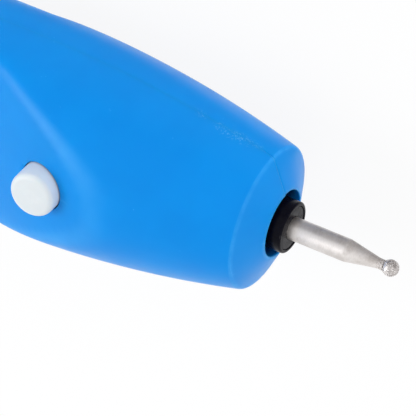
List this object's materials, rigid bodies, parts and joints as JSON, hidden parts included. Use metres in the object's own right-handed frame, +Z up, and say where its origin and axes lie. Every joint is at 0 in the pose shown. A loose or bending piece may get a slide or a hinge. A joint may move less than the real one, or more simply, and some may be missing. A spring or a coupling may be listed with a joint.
{
  "type": "electric engraving pen",
  "caption": "Battery engraving pen: bullet-shaped case in two halves, push button on an inclined panel, motor-driven chuck with a ball burr, sliding battery door.",
  "frame": {"origin": "centre of the pen's bounding box in plan, at its lowest level", "axes": "+X along the pen towards the burr, +Y across, +Z up through the push button"},
  "size_m": [0.1596, 0.028, 0.0262],
  "materials": {
    "blue_plastic": "satin moulded blue",
    "white_plastic": "satin moulded white",
    "black_plastic": "glossy black",
    "dark_plastic": "matt dark grey",
    "spring_steel": "drawn wire",
    "zinc_plate": "zinc plated",
    "burr_steel": "ground and turned",
    "diamond_grit": "diamond grit in nickel",
    "core_iron": "stamped sheets",
    "ferrite": "sintered",
    "copper": "lacquered copper",
    "bronze": "sintered bronze",
    "cell_jacket": "plain printed film",
    "red_cover": "red wire cover",
    "black_cover": "black wire cover"
  },
  "bodies": {
    "case": {"upper_shell": "blue_plastic", "lower_shell": "blue_plastic", "switch_body": "dark_plastic", "switch_lug_left": "copper", "switch_lug_right": "copper", "button_spring": "spring_steel", "battery_spring": "spring_steel", "motor_can": "zinc_plate", "motor_end_bell": "dark_plastic", "motor_front_bush": "bronze", "motor_rear_bush": "bronze", "magnet_left": "ferrite", "magnet_right": "ferrite", "brush_left": "bronze", "brush_right": "bronze", "motor_terminal_left": "copper", "motor_terminal_right": "copper", "cell_front": "cell_jacket", "cell_rear": "cell_jacket", "positive_contact": "zinc_plate", "negative_contact": "zinc_plate", "wire_red": "red_cover", "wire_link": "black_cover", "wire_black": "black_cover", "case_screw_left": "zinc_plate", "case_screw_right": "zinc_plate", "case_screw_tail": "zinc_plate"},
    "button": {"button_cap": "white_plastic", "switch_plunger": "white_plastic"},
    "spindle": {"motor_shaft": "burr_steel", "rotor_core": "core_iron", "rotor_winding_1": "copper", "rotor_winding_2": "copper", "rotor_winding_3": "copper", "commutator": "copper", "chuck_sleeve": "black_plastic", "chuck_insert": "black_plastic"},
    "burr": {"burr_shank": "burr_steel", "burr_ball": "diamond_grit"},
    "door": {"battery_door": "blue_plastic"}
  },
  "joints": [
    {"name": "button_press", "type": "slide", "parent": "case", "child": "button", "axis": [0, 0, -1], "range_m": [0, 0.0015], "stiffness_N_per_m": 600, "springref_m": -0.0005, "deforming": ["button_spring"]},
    {"name": "chuck_spin", "type": "hinge", "parent": "case", "child": "spindle", "pos_m": [0.06, 0, 0.01276], "axis": [1, 0, 0], "continuous": true},
    {"name": "burr_pull", "type": "slide", "parent": "spindle", "child": "burr", "axis": [1, 0, 0], "range_m": [0, 0.006]},
    {"name": "door_slide", "type": "slide", "parent": "case", "child": "door", "axis": [-1, 0, 0], "range_m": [0, 0.1]}
  ]
}
